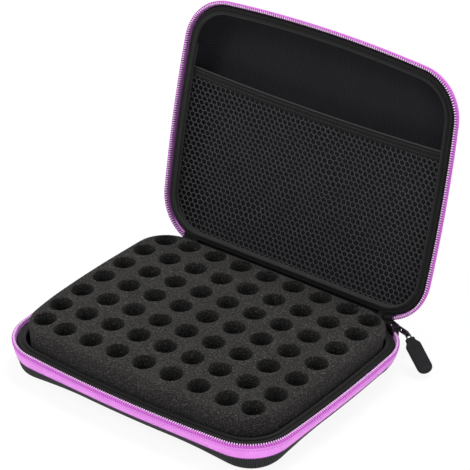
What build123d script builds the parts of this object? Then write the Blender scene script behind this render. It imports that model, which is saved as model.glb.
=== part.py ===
from build123d import *
from math import asin, cos, degrees, hypot, radians, sin, tan
import os

# A zipped case for small bottles: two equal shallow halves joined by a fabric hinge at the rear.
# The base holds a block of foam with a grid of bottle holes, the lid holds a net pocket, and a
# slider with a rubber pull runs on the zip. Lengths are millimetres and angles are degrees.
# +Z is up, -Y is the front, and the origin is the centre of the base's underside.
# The rim line is the inner edge of the zip's coil seen from above, and profiles are drawn as
# (out, up) from it: out of the case, and up from the parting plane between the halves.

# Case
case_width = 240.0
case_depth = 192.0
half_height = 25.0
corner_radius = 35.0
side_bow = 1.5
front_bow = 3.5
opened_angle = 103.0

# Shells
wall = 3.0
shell_inset = 0.6
shell_top_drop = 5.0
shell_taper = 0.8
foot_round = 4.2
foot_bevel = 1.3
floor_lap = 4.0
lining_thickness = 0.8
seat_clearance = 0.1

# Welt: the raised lip inside the zip, with a bead along its inner edge
welt_outer_out = 1.2
welt_shoulder_out = 2.6
welt_shoulder_drop = 2.2
bead_radius = 1.7
bead_turns = (0, 60, 120, 180)
bead_out = 6.8
bead_drop = 2.2
welt_under_bevel = 1.0

# Zip
coil_width = 2.2
coil_drop = 0.8
coil_height = 2.4
coil_chamfer = 0.7
tape_thickness = 0.6
tape_lead = 0.8
tape_bend_drop = 4.8
tape_foot_drop = 13.6
tape_foot_out = 0.7
tape_swell_drop = 9.0
coil_end_angle = 69.0
coil_flex_angle = 46.0
stop_arc = 3.0
stop_gap_arc = 0.4
stop_width = 2.5
tape_end_angle = 80.0

# Hinge strip
hinge_out = 1.8
hinge_thickness = 1.0
hinge_leg_drop = 12.0
hinge_fold_radius = 5.5
hinge_end_gap = 1.6

# Foam insert
foam_gap = 9.0
foam_proud = 15.0
foam_edge_bevel = 2.0
pad_thickness = 4.0
hole_diameter = 16.0
hole_pitch = 24.1
hole_columns = 9
hole_rows = 7
hole_set_back = 4.0
corner_hole_draw_x = 3.2
corner_hole_draw_y = 2.4

# Pocket in the lid, measured along the lid from the rim line at the hinge
pocket_drop = 5.1
binding_width = 3.4
binding_thickness = 0.8
net_thickness = 0.6
hem_reach = 131.0
hem_width = 8.0
hem_bow = 3.0
hem_thickness = 0.8
net_pitch = 18.0
net_thread = 2.0
net_margin = 0.5
net_row_share = 0.6
net_slant_share = 1.2

# Slider, parked on the right rear corner
park_angle = 60.0
slider_length = 10.0
plate_thickness = 1.0
inner_plate_out = 0.8
inner_plate_height = 6.8
outer_plate_out = 2.5
outer_plate_height = 8.8
plate_waist = 2.0
plate_waist_length = 4.0
plate_corner = 0.8
lip_height = 0.8
lip_rise = 0.25
post_length = 2.0
post_width = 1.0
post_set = 0.8
arch_length = 7.2
arch_width = 2.0
arch_thickness = 0.9
arch_window = 2.0
arch_corner = 1.2

# Pull: a metal lever, a wire loop and a rubber tab
lever_heading = -16.5
lever_length = 11.0
lever_thickness = 1.2
lever_width = 4.4
lever_slot_width = 2.5
lever_slot_length = 5.6
crossbar_diameter = 1.3
eye_diameter = 2.0
loop_wire = 1.1
wire_sides = 6
loop_width = 3.6
loop_leg = 5.5
loop_bend = 1.2
tab_droop = 40.6
tab_start = 3.2
tab_length = 28.8
tab_head_width = 8.0
tab_width = 13.0
tab_shoulder_start = 2.6
tab_shoulder_end = 5.8
tab_thickness = 3.6
tab_end_radius = 5.2
tab_head_radius = 2.0
tab_shoulder_radius = 3.0
tab_edge_bevel = 0.8

overrun = 1.0
quarter_turn = 90.0
half_turn = 180.0


class Rim:
    """A rounded outline seen from above: straight at the rear, bowed at the sides and front.

    Its inner corners, the centres of the corner arcs, are joined by bowed core lines, so the
    same outline grown by any amount has concentric arcs.
    """

    def __init__(self, width, depth, radius, side_bow, front_bow):
        self.radius = radius
        self.reach = width / 2 - radius - side_bow
        self.rear = depth / 2 - radius
        self.front = -depth / 2 + radius + front_bow
        half_side = (self.rear - self.front) / 2
        self.side_radius = (half_side**2 + side_bow**2) / (2 * side_bow)
        self.side_turn = degrees(asin(half_side / self.side_radius))
        self.side_centre = (self.reach + side_bow - self.side_radius, (self.rear + self.front) / 2)
        self.front_radius = (self.reach**2 + front_bow**2) / (2 * front_bow)
        self.front_turn = degrees(asin(self.reach / self.front_radius))
        self.front_centre = (0, self.front - front_bow + self.front_radius)

    def arcs(self, end_angle=quarter_turn):
        """The arcs clockwise from the right rear corner to the left: centre, radius, start, turn."""
        side_x, side_y = self.side_centre
        side = self.side_turn
        corner = quarter_turn - side - self.front_turn
        radius = self.radius
        return [
            ((self.reach, self.rear), radius, end_angle, end_angle - side),
            ((side_x, side_y), self.side_radius + radius, side, 2 * side),
            ((self.reach, self.front), radius, -side, corner),
            (self.front_centre, self.front_radius + radius, -side - corner, 2 * self.front_turn),
            ((-self.reach, self.front), radius, side + corner - half_turn, corner),
            ((-side_x, side_y), self.side_radius + radius, side - half_turn, 2 * side),
            ((-self.reach, self.rear), radius, -side - half_turn, end_angle - side),
        ]

    def station(self, centre, radius, angle):
        """The plane across the outline at an angle of one of its arcs: x outward, y up."""
        out = Vector(cos(radians(angle)), sin(radians(angle)), 0)
        return Plane(
            origin=Vector(*centre, 0) + out * radius, x_dir=out, z_dir=Vector(out.Y, -out.X, 0)
        )

    def wire(self, grow, height):
        """The closed outline, grown outward, at a height."""
        edges = []
        for centre, radius, start, turn in self.arcs():
            first = (centre[0], centre[1], height)
            edges.append(Edge.make_circle(
                radius + grow,
                Plane(origin=first),
                start_angle=start - turn,
                end_angle=start,
            ))
        rear = self.rear + self.radius + grow
        edges.append(Edge.make_line((-self.reach, rear, height), (self.reach, rear, height)))
        return Wire(edges)

    def face(self, grow, height):
        """The area inside the grown outline, facing up."""
        inside = Face(self.wire(grow, height))
        return inside if inside.normal_at().Z > 0 else -inside

    def band(self, profile, end_angle=None):
        """A profile carried round the outline: closed, or open between two rear corner angles."""
        pieces = []
        for centre, radius, start, turn in self.arcs(quarter_turn if end_angle is None else end_angle):
            section = self.station(centre, radius, start) * profile
            pieces.append(revolve(section, Axis((*centre, 0), (0, 0, -1)), turn))
        if end_angle is None:
            start_plane = self.station((-self.reach, self.rear), self.radius, quarter_turn)
            pieces.append(extrude(start_plane * profile, amount=2 * self.reach, dir=(1, 0, 0)))
        return Part() + pieces

    def corner_arcs(self, profile, first_angle, arc):
        """A profile carried over one arc at each rear corner, from an angle towards the front."""
        pieces = []
        for side, first in ((1, first_angle), (-1, half_turn - first_angle + arc)):
            centre = (side * self.reach, self.rear)
            section = self.station(centre, self.radius, first) * profile
            pieces.append(revolve(section, Axis((*centre, 0), (0, 0, -1)), arc))
        return Part() + pieces

    def holds(self, x, y, grow):
        """Whether a point lies inside the grown outline, its bows left out."""
        over_x = max(abs(x) - self.reach, 0)
        over_y = max(y - self.rear, self.front - y, 0)
        return hypot(over_x, over_y) < self.radius + grow


def area(points, radius=0):
    """A flat face with straight sides and rounded corners."""
    return make_face(FilletPolyline(*points, radius=radius, close=True))


rim = Rim(case_width, case_depth, corner_radius, side_bow, front_bow)
hinge_line = Axis((0, case_depth / 2 + hinge_out, half_height), (1, 0, 0))
lining_out = shell_inset + wall + seat_clearance
lining_face = lining_out + lining_thickness
floor_top = wall + seat_clearance + lining_thickness


def as_lid(piece):
    """The same piece in the lid: mirrored in the parting plane, then swung open."""
    mirrored = piece.mirror(Plane.XY.offset(half_height))
    return mirrored.rotate(hinge_line, -opened_angle)


def raised(profile):
    """A profile drawn from the parting plane, set at its height."""
    return Pos(0, half_height) * profile


def tray(outer_out, thickness, floor_height, foot):
    """An open tray: a wall carried round the rim line, closed by a floor.

    The foot lists the outer points of the wall's rounded foot, from the wall down to the floor.
    """
    foot_out = outer_out + shell_taper
    lap = foot_out + thickness + floor_lap
    profile = area(
        [(-outer_out, half_height - shell_top_drop)]
        + [(-foot_out - inward, floor_height + rise) for inward, rise in foot]
        + [
            (-lap, floor_height),
            (-lap, floor_height + thickness),
            (-foot_out - thickness, floor_height + thickness),
            (-outer_out - thickness, half_height - shell_top_drop),
        ]
    )
    floor = extrude(rim.face(-lap, floor_height), amount=thickness)
    return rim.band(profile) + floor


def shell():
    """The moulded board shell: a wall drawn in a little towards a rounded foot."""
    foot = [(0, foot_round), (foot_bevel, foot_bevel), (foot_round, 0)]
    return tray(shell_inset, wall, 0, foot)


def lining():
    """The fabric lining bonded inside the shell."""
    return tray(lining_out, lining_thickness, wall + seat_clearance, [(0, 0)])


def welt():
    """The lip round the opening: an outer shoulder and an inner bead, on the shell's top edge."""
    inner = -bead_out - bead_radius
    bead = [
        (bead_radius * cos(radians(turn)) - bead_out, bead_radius * sin(radians(turn)) - bead_drop)
        for turn in bead_turns
    ]
    profile = area([
        (-welt_outer_out, -shell_top_drop),
        (-welt_shoulder_out, -welt_shoulder_drop),
        *bead,
        (inner, welt_under_bevel - shell_top_drop),
        (inner + welt_under_bevel, -shell_top_drop),
    ])
    return rim.band(raised(profile))


def zip_tape():
    """The zip's woven tape: a thin edge beside the coil, swelling to the band sewn on the shell."""
    outer = tape_lead + tape_thickness
    inner = shell_inset - seat_clearance
    profile = area([
        (tape_lead, -coil_drop - coil_height),
        (outer, -coil_drop - coil_height),
        (outer, -tape_swell_drop),
        (tape_foot_out, -tape_foot_drop),
        (-inner, -tape_foot_drop),
        (-inner, -tape_bend_drop - tape_lead),
        (tape_lead, -tape_bend_drop),
    ])
    return rim.band(raised(profile), tape_end_angle)


def coil_profile():
    """The coil's section, flat where it sits on the tape."""
    profile = area([
        (0, -coil_drop - coil_height),
        (0, -coil_drop - coil_chamfer),
        (coil_chamfer, -coil_drop),
        (coil_width - coil_chamfer, -coil_drop),
        (coil_width, -coil_drop - coil_chamfer),
        (coil_width, -coil_drop - coil_height),
    ])
    return raised(profile)


def zip_coil(end_angle=coil_end_angle):
    """The row of teeth as one coil."""
    return rim.band(coil_profile(), end_angle)


def coil_ends():
    """The coil's last stretch at each rear corner, which bends with the cloth as the lid moves."""
    return rim.corner_arcs(coil_profile(), coil_end_angle, coil_end_angle - coil_flex_angle)


def zip_stops():
    """The two end stops, one past each end of the coil."""
    middle = Pos(coil_width / 2, -coil_drop - coil_height / 2)
    profile = raised(middle * Rectangle(stop_width, coil_height))
    return rim.corner_arcs(profile, coil_end_angle + stop_gap_arc + stop_arc, stop_arc)


def hinge_strip():
    """The fabric strip on both rear walls, folded round the hinge line with the lid open."""

    def run(out, fold_radius):
        """One face of the strip, from its base leg over the fold to its lid leg."""
        y, z = hinge_line.position.Y, hinge_line.position.Z
        turn = radians(opened_angle)
        corner = (y - out, z + out * tan(turn / 2))
        lid_end = (
            y - out * cos(turn) + hinge_leg_drop * sin(turn),
            z + out * sin(turn) + hinge_leg_drop * cos(turn),
        )
        return FilletPolyline((y - out, z - hinge_leg_drop), corner, lid_end, radius=fold_radius)

    inner = run(hinge_out + hinge_thickness / 2, hinge_fold_radius + hinge_thickness / 2)
    outer = run(hinge_out - hinge_thickness / 2, hinge_fold_radius - hinge_thickness / 2)
    ends = Line(inner @ 0, outer @ 0) + Line(inner @ 1, outer @ 1)
    profile = Plane.YZ * make_face(inner + outer + ends)
    tape_end = rim.reach + rim.radius * cos(radians(tape_end_angle))
    return extrude(profile, amount=tape_end - hinge_end_gap, both=True)


def foam_hole_places():
    """The centres of the bottle holes, the four corner ones drawn in."""
    last_column = (hole_columns - 1) / 2
    last_row = (hole_rows - 1) / 2
    places = []
    for column in range(hole_columns):
        for row in range(hole_rows):
            across = column - last_column
            along = row - last_row
            x = across * hole_pitch
            y = along * hole_pitch + hole_set_back
            if abs(across) == last_column and abs(along) == last_row:
                x -= corner_hole_draw_x * across / last_column
                y -= corner_hole_draw_y * along / last_row
            places.append((x, y))
    return places


def foam_pad():
    """The flat foam pad under the insert, which closes its holes."""
    return extrude(rim.face(-foam_gap, floor_top), amount=pad_thickness)


def foam_insert():
    """The foam block: a flat top with a bevelled edge, and the holes through it."""
    foot = floor_top + pad_thickness
    top = half_height + foam_proud
    block = extrude(rim.face(-foam_gap, foot), amount=top - foot)
    block = chamfer(block.faces().sort_by(Axis.Z)[-1].edges(), foam_edge_bevel)
    drill = extrude(Circle(hole_diameter / 2), amount=top - foot + 2 * overrun)
    return block - [Pos(x, y, foot - overrun) * drill for x, y in foam_hole_places()]


def hem_line(y_middle, height):
    """A gently bowed line across the lid, past both side walls."""
    reach = case_width / 2 + overrun
    return ThreePointArc(
        (-reach, y_middle - hem_bow, height), (0, y_middle, height), (reach, y_middle - hem_bow, height)
    )


def hinge_side(y_middle, height):
    """The area of the lid from a bowed line to the hinge."""
    line = hem_line(y_middle, height)
    rear = case_depth / 2 + overrun
    right = ((line @ 1).X, rear, height)
    left = ((line @ 0).X, rear, height)
    return make_face(line + Polyline(line @ 1, right, left, line @ 0))


def pocket_binding():
    """The binding that holds the net's edge to the lining, round three sides."""
    height = half_height - pocket_drop - binding_thickness
    edge = lining_face + seat_clearance
    ring = rim.face(-edge, height) - rim.face(-edge - binding_width, height)
    mouth = case_depth / 2 - hem_reach
    return extrude(ring & hinge_side(mouth, height), amount=binding_thickness)


def net_cell(x, y, height):
    """One lozenge gap of the net."""
    across = (net_pitch - net_thread) / 2
    along = across * net_slant_share
    corners = [(x + across, y), (x, y + along), (x - across, y), (x, y - along)]
    return Wire.make_polygon([(*corner, height) for corner in corners], close=True)


def pocket_net():
    """The pocket's net: one sheet with rows of six-sided gaps."""
    height = half_height - pocket_drop - binding_thickness - seat_clearance - net_thickness
    edge = lining_face + seat_clearance
    mouth = case_depth / 2 - hem_reach + hem_thickness
    sheet = rim.face(-edge, height) & hinge_side(mouth, height)
    row_step = net_pitch * net_row_share
    top_row = rim.rear + rim.radius - edge - net_pitch / 2 - net_margin
    rows = int((top_row - mouth - net_pitch / 2) / row_step)
    columns = int(case_width / net_pitch / 2)
    cells = []
    for row in range(rows + 1):
        for column in range(-columns, columns + 1):
            x = (column + (row % 2) / 2) * net_pitch
            y = top_row - row * row_step
            if rim.holds(x, y, -edge - net_pitch / 2 - net_margin):
                cells.append(net_cell(x, y, height))
    return extrude(Face(sheet.face().outer_wire(), cells), amount=net_thickness, dir=(0, 0, 1))


def pocket_hem():
    """The elastic hem along the pocket's mouth, on top of the net."""
    height = half_height - pocket_drop - binding_thickness
    edge = lining_face + 2 * seat_clearance + binding_width
    mouth = case_depth / 2 - hem_reach
    band = hinge_side(mouth, height) - hinge_side(mouth + hem_width, height)
    return extrude(rim.face(-edge, height) & band, amount=hem_thickness)


slider_place = Plane(
    origin=Vector(rim.reach, rim.rear, half_height)
    + Vector(cos(radians(park_angle)), sin(radians(park_angle)), 0) * rim.radius,
    x_dir=(sin(radians(park_angle)), -cos(radians(park_angle)), 0),
    z_dir=(0, 0, 1),
)
crossbar_out = outer_plate_out + plate_thickness + arch_window / 2 + seat_clearance


def slider_plate(out, height):
    """One plate of the slider, wide at its leading end, drawn from its outer face inward."""
    half = height / 2
    back = half - plate_waist / 2
    start = -slider_length / 2
    outline = area(
        [
            (start, -back),
            (start + plate_waist_length, -half),
            (-start, -half),
            (-start, half),
            (start + plate_waist_length, half),
            (start, back),
        ],
        plate_corner,
    )
    return extrude(Plane((0, out, 0), x_dir=(1, 0, 0), z_dir=(0, -1, 0)) * outline,
                   amount=plate_thickness, dir=(0, 1, 0))


def zip_slider():
    """The slider: two plates joined by a post, lips beside the coils and an arch for the pull."""
    outer_face = outer_plate_out + plate_thickness
    inner = slider_plate(-inner_plate_out - plate_thickness, inner_plate_height)
    outer = slider_plate(outer_plate_out, outer_plate_height)
    gap = outer_plate_out + inner_plate_out
    post = Pos(
        slider_length / 2 - post_set - post_length / 2, outer_plate_out - gap / 2, 0
    ) * Box(post_length, gap, post_width)
    lips = [
        Pos(
            plate_waist_length / 2 - plate_corner / 2,
            outer_plate_out - lip_rise / 2,
            side * (outer_plate_height - lip_height) / 2,
        ) * Box(slider_length - plate_waist_length - plate_corner, lip_rise, lip_height)
        for side in (-1, 1)
    ]
    arch_height = arch_window + arch_thickness
    middle = outer_face + arch_height / 2
    strap = Pos(0, middle, 0) * Box(arch_length, arch_height, arch_width)
    window = Pos(0, outer_face + arch_window / 2, 0) * Box(
        arch_length - 2 * arch_thickness, arch_window, arch_width + 2 * overrun
    )
    crown = [
        edge for edge in strap.edges().filter_by(Axis.Z) if edge.center().Y > middle
    ]
    strap = strap.fillet(arch_corner, crown)
    return slider_place * (inner + outer + post + lips + (strap - window))


lever_place = Plane(
    origin=slider_place.from_local_coords((0, crossbar_out, 0)),
    x_dir=(cos(radians(lever_heading)), sin(radians(lever_heading)), 0),
    z_dir=(0, 0, 1),
)


def pull_lever():
    """The metal lever: a crossbar under the arch, two arms beside it and a plate with an eye."""
    half = lever_width / 2
    side = Plane.XZ
    plate = side * (Pos(lever_length / 2, 0) * Rectangle(lever_length, lever_width)
                    + Pos(lever_length, 0) * Circle(half))
    slot = side * (Pos(lever_slot_length / 2 - overrun, 0)
                   * Rectangle(lever_slot_length + 2 * overrun, lever_slot_width))
    eye = side * (Pos(lever_length, 0) * Circle(eye_diameter / 2))
    blade = extrude(plate - slot - eye, amount=lever_thickness / 2, both=True)
    return lever_place * (blade + Cylinder(crossbar_diameter / 2, lever_width))


tab_place = Plane(
    origin=lever_place.from_local_coords((lever_length, 0, 0)),
    x_dir=lever_place.x_dir * cos(radians(tab_droop)) - Vector(0, 0, sin(radians(tab_droop))),
    z_dir=lever_place.x_dir * sin(radians(tab_droop)) + Vector(0, 0, cos(radians(tab_droop))),
)


def loop_path():
    """The wire's centre line: through the eye, and both legs into the tab."""
    half = loop_width / 2
    return FilletPolyline(
        (loop_leg, -half), (0, -half), (0, half), (loop_leg, half), radius=loop_bend
    )


def loop_wire_of(diameter):
    """A round wire along the loop's path."""
    path = loop_path()
    section = Plane(origin=path @ 0, z_dir=path % 0) * RegularPolygon(diameter / 2, wire_sides)
    return sweep(section, path)


def pull_loop():
    """The wire loop that joins the lever to the tab."""
    return tab_place * loop_wire_of(loop_wire)


def pull_tab():
    """The moulded rubber tab: a narrow head over the wire, shoulders and a rounded end."""
    head = tab_head_width / 2
    half = tab_width / 2
    end = tab_start + tab_length
    shoulder = tab_start + tab_shoulder_start
    widest = tab_start + tab_shoulder_end
    outline = area(
        [
            (tab_start, -head), (shoulder, -head), (widest, -half), (end, -half),
            (end, half), (widest, half), (shoulder, head), (tab_start, head),
        ],
        [
            tab_head_radius, 0, tab_shoulder_radius, tab_end_radius,
            tab_end_radius, tab_shoulder_radius, 0, tab_head_radius,
        ],
    )
    body = extrude(outline, amount=tab_thickness / 2, both=True)
    body = chamfer(body.faces().filter_by(Axis.Z).edges(), tab_edge_bevel)
    return tab_place * (body - loop_wire_of(loop_wire + seat_clearance))


pieces = {
    "base_shell": shell(),
    "base_lining": lining(),
    "base_welt": welt(),
    "base_zip_tape": zip_tape(),
    "base_zip_coil": zip_coil(),
    "base_zip_stops": zip_stops(),
    "hinge_strip": hinge_strip(),
    "foam_base_pad": foam_pad(),
    "foam_insert": foam_insert(),
    "pocket_binding": as_lid(pocket_binding()),
    "pocket_net": as_lid(pocket_net()),
    "pocket_hem": as_lid(pocket_hem()),
    "zip_slider": zip_slider(),
    "pull_lever": pull_lever(),
    "pull_loop": pull_loop(),
    "pull_tab": pull_tab(),
}
for name in ("shell", "lining", "welt", "zip_tape", "zip_stops"):
    pieces["lid_" + name] = as_lid(pieces["base_" + name])
pieces["lid_zip_coil"] = as_lid(zip_coil(coil_flex_angle))
pieces["lid_coil_ends"] = as_lid(coil_ends())

os.makedirs("parts", exist_ok=True)
for name, piece in pieces.items():
    export_step(piece, "parts/" + name + ".step")
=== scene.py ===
from math import asin, cos, degrees, hypot, pi, radians, sin, tan

import bmesh
import bpy
import numpy as np
from mathutils import Matrix, Vector, noise
from mathutils.geometry import delaunay_2d_cdt


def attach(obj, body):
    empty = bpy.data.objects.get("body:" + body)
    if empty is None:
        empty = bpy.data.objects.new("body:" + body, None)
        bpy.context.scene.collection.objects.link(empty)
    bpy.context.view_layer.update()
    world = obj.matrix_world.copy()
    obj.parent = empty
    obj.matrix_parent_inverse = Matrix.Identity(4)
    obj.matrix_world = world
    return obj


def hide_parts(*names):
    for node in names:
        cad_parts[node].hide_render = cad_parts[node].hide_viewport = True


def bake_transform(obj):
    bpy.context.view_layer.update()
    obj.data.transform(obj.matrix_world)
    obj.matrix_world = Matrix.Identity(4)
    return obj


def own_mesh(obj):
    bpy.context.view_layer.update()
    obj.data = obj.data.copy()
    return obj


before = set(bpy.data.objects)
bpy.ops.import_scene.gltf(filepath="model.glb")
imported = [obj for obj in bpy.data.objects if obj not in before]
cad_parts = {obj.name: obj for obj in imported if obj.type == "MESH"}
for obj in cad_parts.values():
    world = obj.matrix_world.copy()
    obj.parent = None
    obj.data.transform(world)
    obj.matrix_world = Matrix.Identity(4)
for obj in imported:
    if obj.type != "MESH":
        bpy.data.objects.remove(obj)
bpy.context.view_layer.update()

# Unseeded, the vector noise is a different one in each run.
noise.seed_set(1)

# Shapes are worked out in millimetres in the base's own place and turned to metres by make().
MM = 0.001

# Rim line, the inner edge of the zip's coil seen from above: the corners' centres and radius, and how far
# the sides and the front bow out
REACH, REAR, FRONT, RADIUS = 83.5, 61.0, -57.5, 35.0
SIDE_BOW, FRONT_BOW = 1.5, 3.5
# A corner arc's middle lies this far from the arc's centre, both across and along.
ARC_MIDDLE = RADIUS * 0.7071

# Depth of a half, the hinge line's place and the angle at which the lid stands open
HALF, HINGE_Y, OPENED = 25.0, 97.8, 103.0

# Zip: the angles round the rear corners at which the coil and the tape end, where the sleeves start and how
# far they run, the teeth's spacing, and the depths of the tape's top and foot below the zip
COIL_END, TAPE_END = 69.0, 80.0
SLEEVE_START, SLEEVE_TURN = 69.6, 11.4
TOOTH_PITCH = 1.8
TAPE_TOP, TAPE_FOOT = 4.2, 11.8

# Walls: how far in the flat floor starts, the depth below the zip from which a wall draws in, and the draw-in
# of its inner face: its share of the outer face's in the base and in the lid, and the least
SHELL_LAP, BELLY_DROP = 22.0, 6.0
INNER_SHARE, LID_INNER_SHARE, LEAST_INNER = 0.9, 0.57, 4.0

# Foam: its gap from the rim line, its levels, the holes' size, pitch and shift to the rear, how far the
# corner holes are drawn in, and the rounding of the edge and of the holes' mouths
FOAM_GAP, FOAM_FOOT, FOAM_TOP = 9.0, 7.9, 40.8
HOLE_RADIUS, HOLE_PITCH, HOLE_SET_BACK = 8.0, 24.1, 4.0
CORNER_HOLE_DRAW = (3.2, 2.4)
FOAM_ROUND, HOLE_ROUND = 3.4, 0.9

# Pocket: the hem's place with its bow, its width and half its length, the levels of hem and net, and the
# net's margin from the rim line
HEM_LINE, HEM_BOW, HEM_WIDTH, HEM_REACH = -35.0, 3.0, 8.0, 111.4
HEM_LEVEL, NET_LEVEL, NET_MARGIN = 19.15, 18.7, 5.0

# Pull: the slider's angle round the corner, the lever's heading, pivot and length, the tab's droop and ends
PARK_ANGLE, LEVER_HEADING, LEVER_PIVOT, LEVER_LENGTH = 60.0, -16.5, 4.6, 11.0
TAB_DROOP, TAB_START, TAB_END = 40.6, 3.2, 32.0

# The photograph's frame, and the camera's focal length and shift, in pixels
IMAGE, FOCAL, SHIFT = 470, 2576.03, (-6.82, 1.586)


# Outline

def arcs(end_angle):
    """The rim line's arcs, clockwise from the right rear corner: centre, radius, start, turn."""
    half = (REAR - FRONT) / 2
    side_radius = (half**2 + SIDE_BOW**2) / (2 * SIDE_BOW)
    side = degrees(asin(half / side_radius))
    side_x, side_y = REACH + SIDE_BOW - side_radius, (REAR + FRONT) / 2
    front_radius = (REACH**2 + FRONT_BOW**2) / (2 * FRONT_BOW)
    front = degrees(asin(REACH / front_radius))
    front_y = FRONT - FRONT_BOW + front_radius
    corner = 90.0 - side - front
    return [
        (REACH, REAR, RADIUS, end_angle, end_angle - side),
        (side_x, side_y, side_radius + RADIUS, side, 2 * side),
        (REACH, FRONT, RADIUS, -side, corner),
        (0.0, front_y, front_radius + RADIUS, -side - corner, 2 * front),
        (-REACH, FRONT, RADIUS, side + corner - 180.0, corner),
        (-side_x, side_y, side_radius + RADIUS, side - 180.0, 2 * side),
        (-REACH, REAR, RADIUS, -side - 180.0, end_angle - side),
    ]


def walk(step, end_angle=None):
    """Stations on the rim line, as rows of x, y, outward x, outward y, length walked.

    The line is closed, or open between two rear corner angles.
    """
    rows, length = [], 0.0
    for x, y, radius, start, turn in arcs(90.0 if end_angle is None else end_angle):
        run = radians(turn) * radius
        count = max(2, round(run / step))
        for i in range(count):
            a = radians(start - turn * i / count)
            rows.append((x + radius * cos(a), y + radius * sin(a), cos(a), sin(a), length + run * i / count))
        length += run
    if end_angle is None:
        count = round(2 * REACH / step)
        for i in range(count):
            run = 2 * REACH * i / count
            rows.append((-REACH + run, REAR + RADIUS, 0.0, 1.0, length + run))
        length += 2 * REACH
    else:
        a = radians(start - turn)
        rows.append((x + radius * cos(a), y + radius * sin(a), cos(a), sin(a), length))
    return np.array(rows), length


RIM, RIM_LENGTH = walk(2.0)


def inset(points, grow):
    """How far points lie inside the rim line grown by an amount."""
    points = np.asarray(points, float).reshape(-1, 2)
    reach = (points @ RIM[:, 2:4].T) - (RIM[:, :2] * RIM[:, 2:4]).sum(1)
    return grow - reach.max(1)


def to_lid(points):
    """Points of the base moved to the same place in the open lid."""
    turn = radians(-OPENED)
    y, z = points[:, 1] - HINGE_Y, HALF - points[:, 2]
    return np.stack([
        points[:, 0],
        HINGE_Y + cos(turn) * y - sin(turn) * z,
        HALF + sin(turn) * y + cos(turn) * z,
    ], 1)


def wobble(points, wide, tall, seed):
    """Smooth noise at flat points, of about that width and height in millimetres."""
    return np.array([noise.noise(Vector((p[0] / wide, p[1] / tall, seed))) for p in points])


# Mesh building

def make(name, shape, material, body, replaces=(), lid=False, sharp=35.0):
    """A piece from points in millimetres, faces and, where it has them, flat coordinates."""
    points, faces, *uvs = shape
    points = np.asarray(points, float)
    if lid:
        points = to_lid(points)
    mesh = bpy.data.meshes.new(name)
    mesh.from_pydata([tuple(p) for p in points * MM], [], [tuple(f) for f in faces])
    if uvs:
        layer = mesh.uv_layers.new(name="flat")
        layer.data.foreach_set("uv", (np.asarray(uvs[0], float) * MM).ravel())
    work = bmesh.new()
    work.from_mesh(mesh)
    bmesh.ops.recalc_face_normals(work, faces=work.faces)
    work.to_mesh(mesh)
    work.free()
    mesh.polygons.foreach_set("use_smooth", [True] * len(mesh.polygons))
    mesh.set_sharp_from_angle(angle=radians(sharp))
    piece = bpy.data.objects.new(name, mesh)
    bpy.context.scene.collection.objects.link(piece)
    mesh.materials.append(material)
    if replaces:
        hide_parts(*replaces)
    if body:
        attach(piece, body)
    return piece


def skin(count, around, start=0):
    """Faces of a bar made of a count of rings, with both ends closed."""
    faces = []
    for i in range(count - 1):
        for k in range(around):
            here, there = start + i * around, start + (i + 1) * around
            nearby = (k + 1) % around
            faces.append((here + k, here + nearby, there + nearby, there + k))
    return faces + [[start + i * around + k for k in range(around)] for i in (0, count - 1)]


def merge(parts):
    """Several (points, faces) as one."""
    points, faces = [], []
    for some, more in parts:
        start = len(points)
        points += [tuple(p) for p in some]
        faces += [[k + start for k in face] for face in more]
    return points, faces


def sweep(profile, rows, length, closed=False, floored=False):
    """A profile of (out, up) points carried along the stations: points, faces and flat coordinates.

    The profile is a list, or a function of the station's place where it changes along the line. Along a
    closed line, a floored sweep keeps its profile open, and flat faces fill the rings of its two ends.
    """
    n = len(rows)
    if callable(profile):
        profile = np.array([profile(row[0], row[1]) for row in rows], float)
    else:
        profile = np.repeat(np.asarray(profile, float)[None], n, 0)
    m = profile.shape[1]
    points = np.empty((n, m, 3))
    points[:, :, 0] = rows[:, 0:1] + rows[:, 2:3] * profile[:, :, 0]
    points[:, :, 1] = rows[:, 1:2] + rows[:, 3:4] * profile[:, :, 0]
    points[:, :, 2] = HALF + profile[:, :, 1]
    ring = np.concatenate([profile, profile[:, :1]], 1)
    steps = np.hypot(*np.moveaxis(np.diff(ring, axis=1), 2, 0))
    run = np.concatenate([np.zeros((n, 1)), np.cumsum(steps, 1)], 1)
    faces, uvs = [], []
    for i in range(n if closed else n - 1):
        j = (i + 1) % n
        s0, s1 = rows[i, 4], rows[j, 4] if j else length
        for k in range(m - 1 if floored else m):
            l = (k + 1) % m
            faces.append((i * m + k, i * m + l, j * m + l, j * m + k))
            uvs += [(s0, run[i, k]), (s0, run[i, k + 1]), (s1, run[j, k + 1]), (s1, run[j, k])]
    if floored:
        for k in (0, m - 1):
            faces.append([i * m + k for i in range(n)])
            uvs += [tuple(points[i, k, :2]) for i in range(n)]
    elif not closed:
        for i in (0, n - 1):
            faces.append([i * m + k for k in range(m)])
            uvs += [(rows[i, 4], run[i, k]) for k in range(m)]
    return points.reshape(-1, 3), faces, uvs


def bend(centre, radius, start, end, count):
    """Points (out, up) on an arc of a profile."""
    return [
        (centre[0] + radius * cos(radians(start + (end - start) * i / count)),
         centre[1] + radius * sin(radians(start + (end - start) * i / count)))
        for i in range(count + 1)
    ]


def tube(line, radius, sides):
    """A round bar along points, in millimetres: points and faces."""
    line = [Vector(p) for p in line]
    points = []
    side = (line[1] - line[0]).normalized().orthogonal().normalized()
    for i, p in enumerate(line):
        tangent = (line[min(i + 1, len(line) - 1)] - line[max(i - 1, 0)]).normalized()
        side = (side - tangent * side.dot(tangent)).normalized()
        up = tangent.cross(side)
        points += [
            tuple(p + (side * cos(2 * pi * k / sides) + up * sin(2 * pi * k / sides)) * radius)
            for k in range(sides)
        ]
    return points, skin(len(line), sides)


# Materials

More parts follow.
